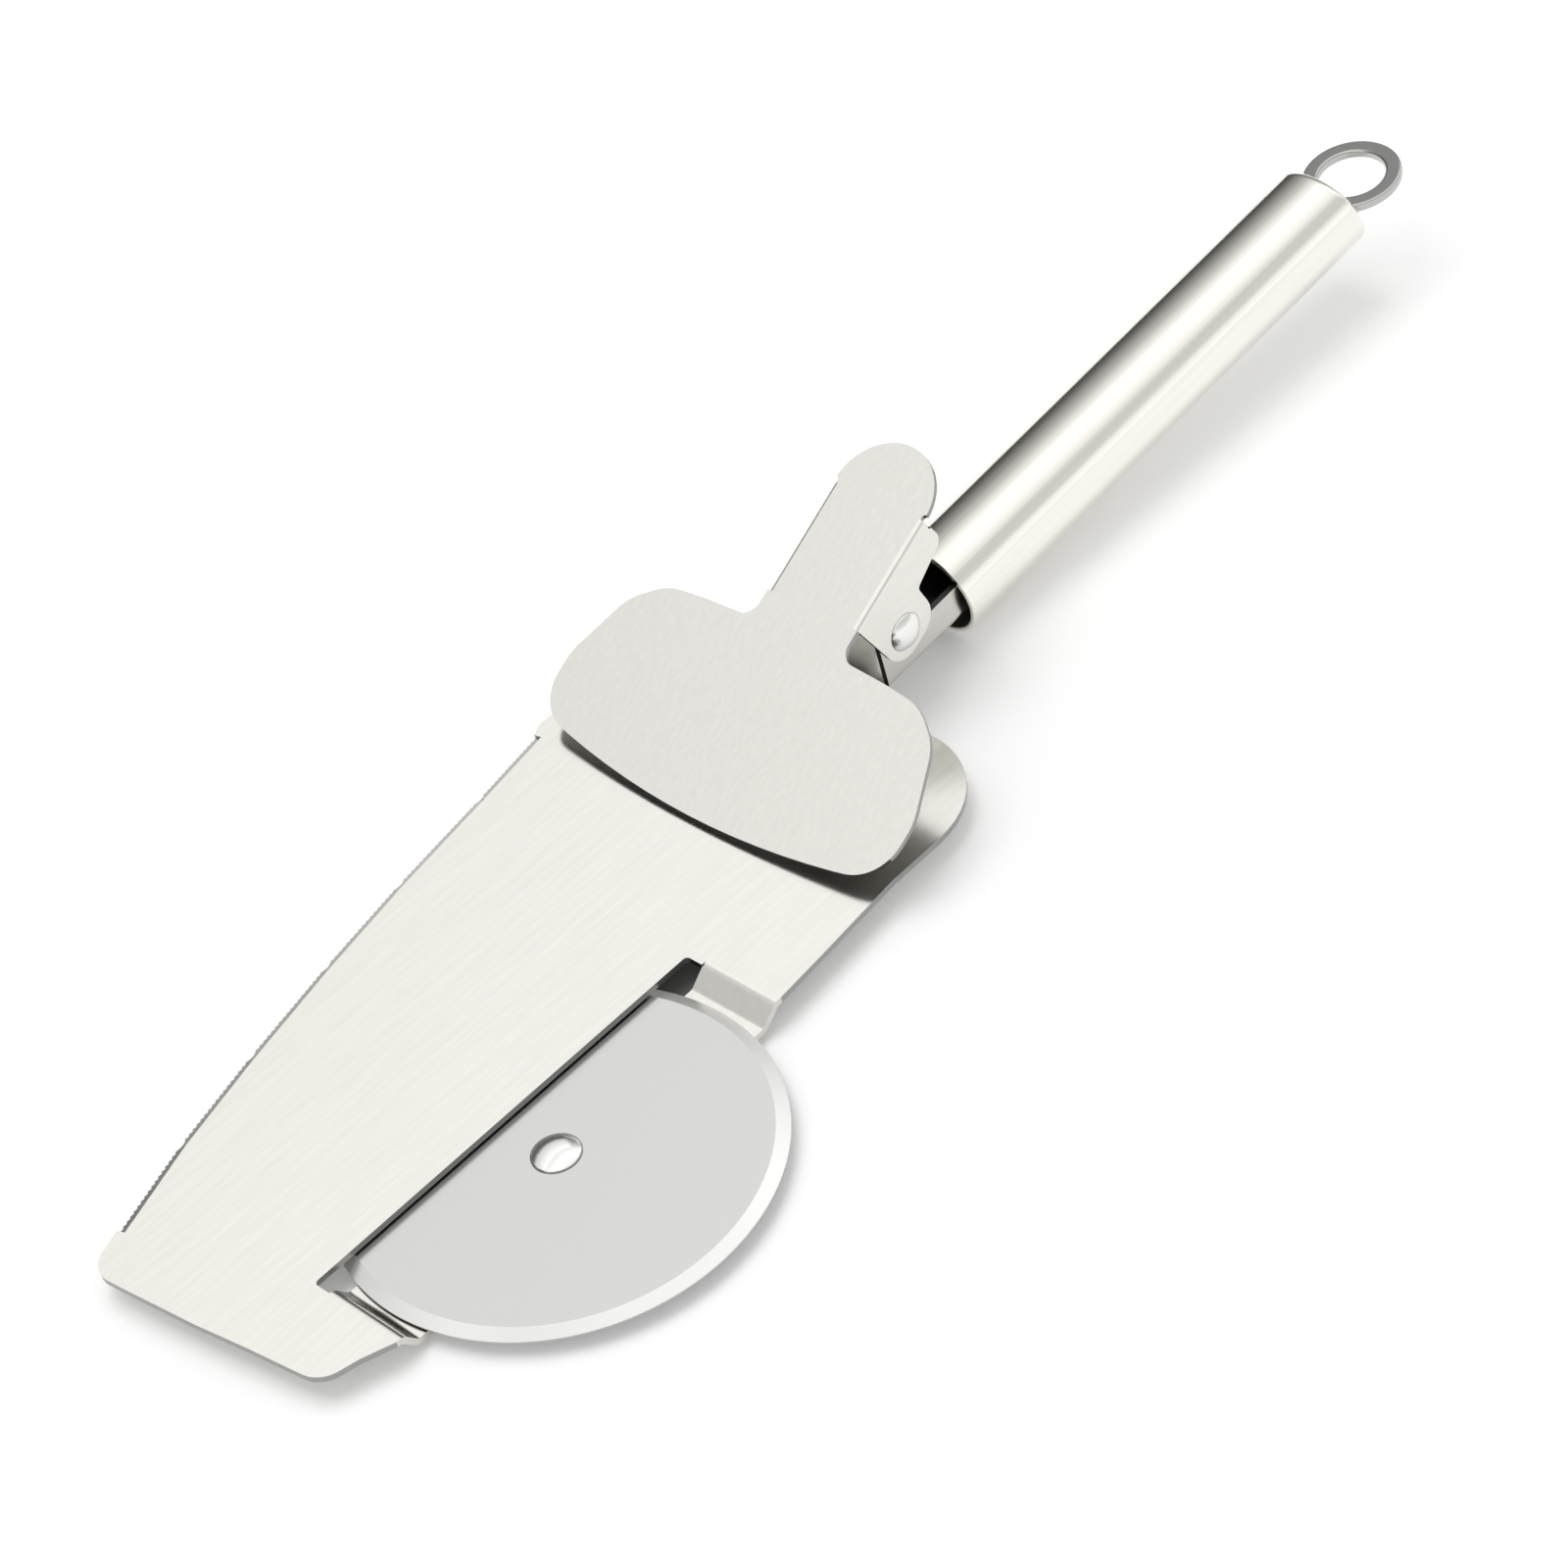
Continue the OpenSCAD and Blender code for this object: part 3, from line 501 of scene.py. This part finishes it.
def faces_inwards(middles, normals):
    """Whether the part of a normal across the tube points at the tube's middle line."""
    from_mouth = middles - MOUTH
    across = (from_mouth * normals).sum(1) - (from_mouth @ ALONG) * (normals @ ALONG)
    return across < -1.0 * MM


profile = rounded([(0, BORE), (0, TUBE_R), (TUBE_LONG, TUBE_R), (TUBE_LONG, BORE)],
                  [MOUTH_EDGE, MOUTH_EDGE, 0, 0])
slant = np.where(profile[:, 0] > TUBE_LONG / 2, END_SLANT, 0.0)
tube = piece("tube_with_rolled_mouth", *revolved(profile, MOUTH, ALONG, TUBE_SIDES, slant),
             "server", "tube_steel", tube_steel, "handle_tube")
second_finish(tube, mill_steel_and_painted_shade, faces_inwards)

# %% End cap
CAP_EDGE, CAP_PLUG, PLUG_EDGE = 1.5, 5.0, 0.2
plug_end, cap_end = TUBE_LONG - CAP_PLUG, TUBE_LONG + CAP_EDGE
arc = CAP_EDGE * 0.999              # a hair less, so that its start isn't the corner before it
profile = rounded([(plug_end, 0), (plug_end, BORE), (TUBE_LONG, BORE), (TUBE_LONG, TUBE_R),
                   (cap_end, TUBE_R), (cap_end, 0)],
                  [0, PLUG_EDGE, 0, 0, arc, 0], steps=10)
slant = np.full(len(profile), END_SLANT)
piece("rounded_end_cap", *revolved(profile, MOUTH, ALONG, TUBE_SIDES, slant),
      "server", "tube_steel", tube_steel, "handle_end_cap")

# %% Hanging ring
RING_IN, RING_OUT, RING_THICK, RING_EDGE, RING_SIDES = 5.5, 8.1, 1.6, 0.45, 120
h = RING_THICK / 2
profile = rounded([(-h, RING_IN), (h, RING_IN), (h, RING_OUT), (-h, RING_OUT)], [RING_EDGE] * 4)
piece("stamped_ring", *revolved(profile, RING, UP, RING_SIDES),
      "server", "ring_steel", ring_steel, "hanging_ring")

# %% [markdown]
# ## The wheel and the rivets
# The wheel is a disc with a bevel ground on its upper side, and the bevel's colour is painted
# lighter than the face's, a painted highlight along the rim. The rivets' heads are domes: a
# circle's arc from the rim to the middle, with the shank under it, all in one profile.

# %% Wheel
WHEEL_R, WHEEL_BORE, WHEEL_THICK, BEVEL, RIM, WHEEL_SIDES = 32.5, 2.55, 1.0, 2.0, 0.25, 360
BORE_EDGE, BEVEL_EDGE, RIM_EDGE = 0.1, 0.15, 0.05
BEVEL_LEAN = (0.5, 0.97)            # upward share of the bevel's normals: neither face nor rim


def is_bevel(middles, normals):
    """Whether a face leans as the bevel does."""
    return (normals[:, 2] > BEVEL_LEAN[0]) & (normals[:, 2] < BEVEL_LEAN[1])


profile = rounded([(0, WHEEL_BORE), (WHEEL_THICK, WHEEL_BORE), (WHEEL_THICK, WHEEL_R - BEVEL),
                   (RIM, WHEEL_R), (0, WHEEL_R)],
                  [BORE_EDGE, BORE_EDGE, BEVEL_EDGE, RIM_EDGE, RIM_EDGE])
wheel = piece("ground_wheel", *revolved(profile, AXLE, FLAT, WHEEL_SIDES),
              "wheel", "wheel_steel", wheel_steel, "cutter_wheel")
# the bevel's faces get the lighter colour: a painted highlight
second_finish(wheel, bevel_painted_highlight, is_bevel)

# %% Rivets
RIVET_SIDES = 96
HEAD_WIDE, HEAD_HIGH, HEAD_FROM = 7.4, 1.3, 1.1         # head of the wheel's rivet, over the wheel
SHANK_R, STRIP_UNDER = 2.5, -1.3                        # its shank, down to the strip's underside
TAIL_R, TAIL_END, TAIL_EDGE = 3.5, -2.0, 0.2            # its tail below the strip
PIN_WIDE, PIN_HIGH, PIN_R, PIN_HALF = 6.2, 1.4, 1.5, 9.15   # the clamp's rivet, through both ears


def dome(width, height, steps=14):
    """(height, radius) points of a spherical cap from its rim to its pole."""
    ball = (width ** 2 / 4 + height ** 2) / (2 * height)
    a = np.linspace(np.arcsin(width / 2 / ball), 0, steps)
    return np.stack([ball * np.cos(a) - (ball - height), ball * np.sin(a)], -1)


head = dome(HEAD_WIDE, HEAD_HIGH) + (HEAD_FROM, 0)
shank = [(TAIL_END, 0), (TAIL_END, TAIL_R - TAIL_EDGE), (TAIL_END + TAIL_EDGE, TAIL_R),
         (STRIP_UNDER, TAIL_R), (STRIP_UNDER, SHANK_R), (HEAD_FROM, SHANK_R)]
wheel_rivet = piece("domed_wheel_rivet",
                    *revolved(np.vstack([shank, head]), AXLE, FLAT, RIVET_SIDES),
                    "server", "rivet_steel", rivet_steel, "wheel_rivet")

head = dome(PIN_WIDE, PIN_HIGH) + (PIN_HALF, 0)
profile = np.vstack([(head * (-1, 1))[::-1], [(-PIN_HALF, PIN_R), (PIN_HALF, PIN_R)], head])
pivot_rivet = piece("domed_pivot_rivet", *revolved(profile, PIVOT, SIDE, RIVET_SIDES),
                    "clamp", "rivet_steel", rivet_steel, "pivot_rivet")

# %% [markdown]
# ## Sheet with soft edges
# The blade and the clamp are folded sheets with an outline of their own, and the CAD mesh already
# has it. A copy of it is merged, its flat triangles are joined again, and a fine bevel goes round
# every sharp edge, as tumbling leaves it on stamped steel. Without the bevel an edge of sheet is
# invisible; with it, each edge shows as a thin line of light. The bevel takes the rim finish,
# whose colour is painted lighter than the face, so that line is partly a painted highlight.
#
# A sheared edge is torn over most of its height, so it is much duller than the faces. Where it
# lines the slit, the neck's front and the clamp's front, it is painted near black, a painted shade
# for the dark gaps beside it. It is told from the faces by what lies behind it: through the sheet
# it is less than a millimetre and a half, along the sheet it is far more.

# %% Helper for sheet
FACE, TORN, EDGE_RIM, INNER, CLEAN = range(5)           # order of the five finishes of a sheet
DEEP, NARROW = 1.5 * MM, 1.3 * MM   # an edge has more metal behind it, and is less wide
SOFT = 0.12 * MM                    # width of the bevel on the edges
CORNER, COPLANAR = np.radians(35), np.radians(0.6)
MERGE = 2e-3 * MM


def softened(name, node, body, finishes, torn, inner):
    """Merged copy of a CAD node with a bevel on its sharp edges. A face is sheared edge where it
    is narrow (2 * area / outline) and has depth behind it. torn and inner are tests on a face's
    middle and normal: which edges get the near-black torn finish, a painted shade for the gaps
    beside them, and which faces get the dark mill finish, which on the clamp's underside is
    painted shade."""
    mesh = nodes[node].data.copy()
    mesh.name = name
    mesh.materials.clear()
    for finish in finishes:
        mesh.materials.append(finish)
    work = bmesh.new()
    work.from_mesh(mesh)
    bmesh.ops.remove_doubles(work, verts=work.verts, dist=MERGE)
    bmesh.ops.dissolve_limit(work, angle_limit=COPLANAR, verts=work.verts, edges=work.edges)
    shell = BVHTree.FromBMesh(work)
    for face in work.faces:
        middle, normal = face.calc_center_median(), face.normal
        hit = shell.ray_cast(middle - normal * 0.01 * MM, -normal)
        narrow = 2 * face.calc_area() / face.calc_perimeter() < NARROW
        if narrow and (hit[3] or 0) > DEEP:
            face.material_index = TORN if torn(middle, normal) else CLEAN
        else:
            face.material_index = INNER if inner(middle, normal) else FACE
    loose = sum(1 for edge in work.edges if len(edge.link_faces) != 2)
    sheared = sum(face.material_index in (TORN, CLEAN) for face in work.faces)
    work.to_mesh(mesh)
    work.free()
    mesh.shade_smooth()
    mesh.set_sharp_from_angle(angle=CORNER)
    thing = bpy.data.objects.new(name, mesh)
    bpy.context.scene.collection.objects.link(thing)
    # the bevel gets the rim finish, painted lighter than the face: a painted highlight
    soft = thing.modifiers.new("soft_edges", "BEVEL")
    soft.width, soft.segments, soft.limit_method = SOFT, 2, "ANGLE"
    soft.angle_limit, soft.material = CORNER, EDGE_RIM
    evened(thing)
    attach(thing, body)
    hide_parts(node)
    print(name, len(mesh.polygons), "faces,", sheared, "of them sheared edge,", loose, "open edges")
    return thing


# %% Blade
SLIT_HALF, SLIT_SIDE = 38 * MM, 8.5 * MM    # its half length and inner side, from the axle
NECK_FROM = PIVOT[0] - 5 * MM


# These edges get the near-black torn finish, a painted shade for the gaps beside the slit and neck.
def in_slit_or_neck(middle, normal):
    """Edges of the slit and of the strip beside it, and the neck's front edges under the clamp."""
    slit = abs(middle.x - AXLE[0]) < SLIT_HALF and middle.y - AXLE[1] < SLIT_SIDE
    return slit or (middle.x > NECK_FROM and normal.x < 0)


def nowhere(middle, normal):
    """The blade is polished on all its faces."""
    return False


blade = softened("stamped_blade", "server_blade", "server",
                 (plate_steel, torn_edge_and_painted_shade, blade_rim_painted_highlight, mill_steel_and_painted_shade, clean_edge),
                 in_slit_or_neck, nowhere)

# %% Clamp
DEPTH = -1.0                        # height in metres of a point far below the clamp


# These edges get the near-black torn finish, a painted shade for the gap under the clamp's front.
def faces_front(middle, normal):
    """Edges that turn towards the blade's tip."""
    return normal.x < -0.3


def turns_inward(middle, normal):
    """Whether a face turns towards a point far below, on the clamp's middle plane."""
    return (Vector((middle.x, PIVOT[1], DEPTH)) - middle) @ normal > 0


# The clamp's underside gets the dark mill finish as painted shade.
clamp = softened("stamped_clamp", "clamp_plate", "clamp",
                 (clamp_steel, torn_edge_and_painted_shade, clamp_rim_painted_highlight, mill_steel_and_painted_shade, clean_edge),
                 faces_front, turns_inward)

# %% [markdown]
# ## The spring
# A torsion spring of 0.9 mm wire sits round the pivot rivet: its lower leg stands on the neck's
# floor and its upper leg under the clamp plate. It is a circle carried along a path of leg, coil
# and leg.

# %% Sizes of the spring
WIRE, COIL, PITCH, TURNS, BEND = 0.9, 2.9, 1.5, 5, 1.5  # BEND is the radius of a leg's knee
LEG_UP, LEG_DOWN = 20.0, 30.0       # degrees between each leg and the sheet that it presses on
LEAN = 27.1643                      # slope of the clamp plate at rest, in degrees
PLATE_UNDER, LEG_GAP = 9.4, 0.3     # plate's underside above the pivot, and the leg's gap to it
NECK_UNDER, NECK_SHEET = 10.74, 1.0  # neck's underside below the pivot, and its thickness
deg = np.radians
up_angle, down_angle = LEAN + LEG_UP, LEG_DOWN - RISE
sweep = 360 * TURNS - 180 - up_angle - down_angle
coil_rise = PITCH * sweep / 360
print("spring: %.2f turns, %.1f mm wide" % (sweep / 360, coil_rise + WIRE))


# %% A leg of the spring
KNEE_STEPS = 9


def straight_run(room, angle):
    """Length of a leg up to its knee: (room - (coil + knee) * cos(angle) - wire) / sin(angle).
    Room is the height from the pivot to the sheet."""
    return (room - (COIL + BEND) * np.cos(deg(angle)) - WIRE) / np.sin(deg(angle))


def leg(start, angle, run, bend, y):
    """Points of a leg: straight along the angle, an arc of the bend radius, then straight again."""
    way = np.array((np.cos(deg(angle)), np.sin(deg(angle))))
    side = np.array((-way[1], way[0])) * np.sign(bend)
    centre = start + way * run + side * BEND
    a = deg(bend) * np.linspace(0, 1, KNEE_STEPS)
    arm = -side * BEND
    x = arm[0] * np.cos(a) - arm[1] * np.sin(a)
    z = arm[0] * np.sin(a) + arm[1] * np.cos(a)
    arc = centre + np.stack([x, z], -1)
    last = np.array((np.cos(deg(angle + bend)), np.sin(deg(angle + bend))))
    flat = np.vstack([arc, arc[-1] + last * WIRE])
    return np.stack([flat[:, 0], np.full(len(flat), y), flat[:, 1]], -1)


# %% Path of the spring
COIL_STEPS = 150
up_start = COIL * np.array((-np.sin(deg(up_angle)), np.cos(deg(up_angle))))
down_start = COIL * np.array((-np.sin(deg(down_angle)), -np.cos(deg(down_angle))))
upper = leg(up_start, up_angle, straight_run(PLATE_UNDER - LEG_GAP, LEG_UP),
            90 - LEG_UP, coil_rise / 2)
lower = leg(down_start, -down_angle, straight_run(NECK_UNDER - NECK_SHEET, LEG_DOWN),
            LEG_DOWN - 90, -coil_rise / 2)
share = np.linspace(0, 1, COIL_STEPS)
a = deg(-90 - down_angle - sweep * share)
coil = np.stack([COIL * np.cos(a), coil_rise * (share - 0.5), COIL * np.sin(a)], -1)
spring_path = np.vstack([lower[::-1], coil, upper])
print("spring: %.0f mm of wire" % np.linalg.norm(np.diff(spring_path, axis=0), axis=1).sum())


# %% Wire of the spring
WIRE_SIDES = 16


def wire(path, radius, sides):
    """Circle of the given radius carried along a path, square to it; the ends are closed in a
    point."""
    way = np.gradient(path, axis=0)
    way = way / np.linalg.norm(way, axis=1)[:, None]
    u = np.cross(way, SIDE)
    u = u / np.linalg.norm(u, axis=1)[:, None]
    w = np.cross(u, way)
    t = np.linspace(0, 2 * np.pi, sides, endpoint=False)[:, None]
    around = np.cos(t)[None] * u[:, None] + np.sin(t)[None] * w[:, None]
    rings = path[:, None] + radius * around
    ends = [np.repeat(path[k][None, None], sides, 1) for k in (0, -1)]
    rings = np.concatenate([ends[0], rings, ends[1]])
    return rings.reshape(-1, 3), grid_faces(len(rings), sides, False, True)


points, faces = wire(spring_path, WIRE / 2, WIRE_SIDES)
spring = piece("torsion_spring", PIVOT + points * MM, faces, None,
               "spring_steel", wire_steel, "clamp_spring")
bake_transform(spring)

# %% [markdown]
# ## What stays as it is
# The two spacers and the washer lie hidden between other pieces and are plain rings in the CAD
# model already, so they keep that shape and only get the ring's steel.

# %% Small pieces keep their CAD shape
for name in ("pivot_spacers", "wheel_washer"):
    nodes[name].data.materials.clear()
    nodes[name].data.materials.append(ring_steel)
    print(name, "keeps its shape, in ring steel")

# %% [markdown]
# ## Lamps for the sheets
# A flat face shows only one spot of the studio, so its tone is set by a lamp of its own, which
# stands where the camera's line of sight is thrown back to. The band is wide enough for every
# face. The patch ends on the left, so faces that lean to that side, such as the strip's ramp and
# the front of the wheel's bevel, miss it and come out greyer, as in the photograph. Light linking
# keeps each lamp to its own pieces.

# %% Lamps of the sheet pieces
LAMP_HIGH = 0.85
BAND = ((0.0, 0.62, 0.76), 2.2)     # place and width in metres
PATCH = ((0.42, 0.50, 0.73), 1.04)
sheets, clamp_set = (blade, wheel), (clamp, wheel_rivet, pivot_rivet)
for name, (place, wide), radiance, things in (("blade_band", BAND, 0.48, sheets),
                                              ("blade_patch", PATCH, 0.45, sheets),
                                              ("clamp_band", BAND, 0.53, clamp_set)):
    lamp = panel(name, place, wide, LAMP_HIGH, radiance)
    lit = bpy.data.collections.new(name + "_pieces")
    lamp.light_linking.receiver_collection = lit
    for thing in things:
        lit.objects.link(thing)
    print(name, "lights", len(things), "pieces")
